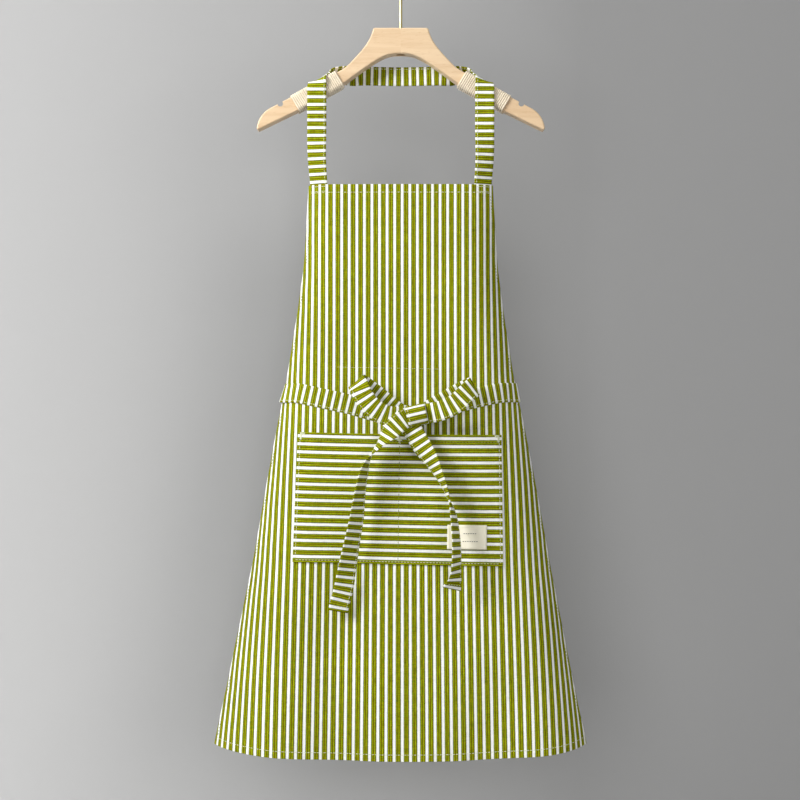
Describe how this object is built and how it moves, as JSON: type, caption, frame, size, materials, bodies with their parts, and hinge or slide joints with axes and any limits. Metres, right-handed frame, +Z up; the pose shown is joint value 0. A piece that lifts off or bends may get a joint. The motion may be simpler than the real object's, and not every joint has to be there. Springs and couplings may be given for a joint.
{
  "type": "apron on a hanger hook",
  "caption": "Striped canvas bib apron with pocket and tied waist bow, hung by its neck strap on a cord-wrapped wooden hanger with a turning wire hook.",
  "frame": {"origin": "centre of the rail that the hook hangs on", "axes": "+X to the apron's right as seen from its front, -Y out of the front of the apron, +Z up"},
  "size_m": [0.484, 0.0804, 1.0515],
  "materials": {
    "striped_canvas": "woven cotton canvas, green with white yarn-dyed stripes",
    "thread": "off-white sewing thread",
    "label_cloth": "cream woven tape",
    "twine": "cream twisted cotton twine",
    "hanger_wood": "pale beech, satin lacquer",
    "hook_metal": "pale brass plate, polished"
  },
  "bodies": {
    "hook": {"hook_wire": "hook_metal", "hook_washer": "hook_metal"},
    "hanger": {"hanger_left_arm": "hanger_wood", "hanger_right_arm": "hanger_wood", "left_cord_wrap": "twine", "right_cord_wrap": "twine"},
    "apron": {"apron_body": "striped_canvas", "bib_top_hem": "striped_canvas", "bottom_hem": "striped_canvas", "left_side_hem": "striped_canvas", "right_side_hem": "striped_canvas", "neck_strap": "striped_canvas", "strap_bartacks": "thread", "pocket_panel": "striped_canvas", "pocket_top_hem": "striped_canvas", "pocket_divider_seam": "thread", "pocket_bartacks": "thread", "label": "label_cloth", "label_seam": "thread", "waist_tie_left": "striped_canvas", "waist_tie_right": "striped_canvas", "tie_bartack_left": "thread", "tie_bartack_right": "thread", "bow_knot": "striped_canvas", "bow_loop_left": "striped_canvas", "bow_loop_right": "striped_canvas"},
    "left_tail": {"bow_tail_left": "striped_canvas"},
    "right_tail": {"bow_tail_right": "striped_canvas"}
  },
  "joints": [
    {"name": "hanger_swivel", "type": "hinge", "parent": "hook", "child": "hanger", "pos_m": [0, 0, -0.1], "axis": [0, 0, 1], "continuous": true},
    {"name": "apron_lift", "type": "slide", "parent": "hanger", "child": "apron", "axis": [0, 0, 1], "range_m": [0, 0.06]},
    {"name": "left_tail_swing", "type": "hinge", "parent": "apron", "child": "left_tail", "pos_m": [-0.003, -0.047, -0.604], "axis": [-1, 0, 0], "range_deg": [0, 60]},
    {"name": "right_tail_swing", "type": "hinge", "parent": "apron", "child": "right_tail", "pos_m": [0.017, -0.047, -0.604], "axis": [-1, 0, 0], "range_deg": [0, 60]}
  ]
}
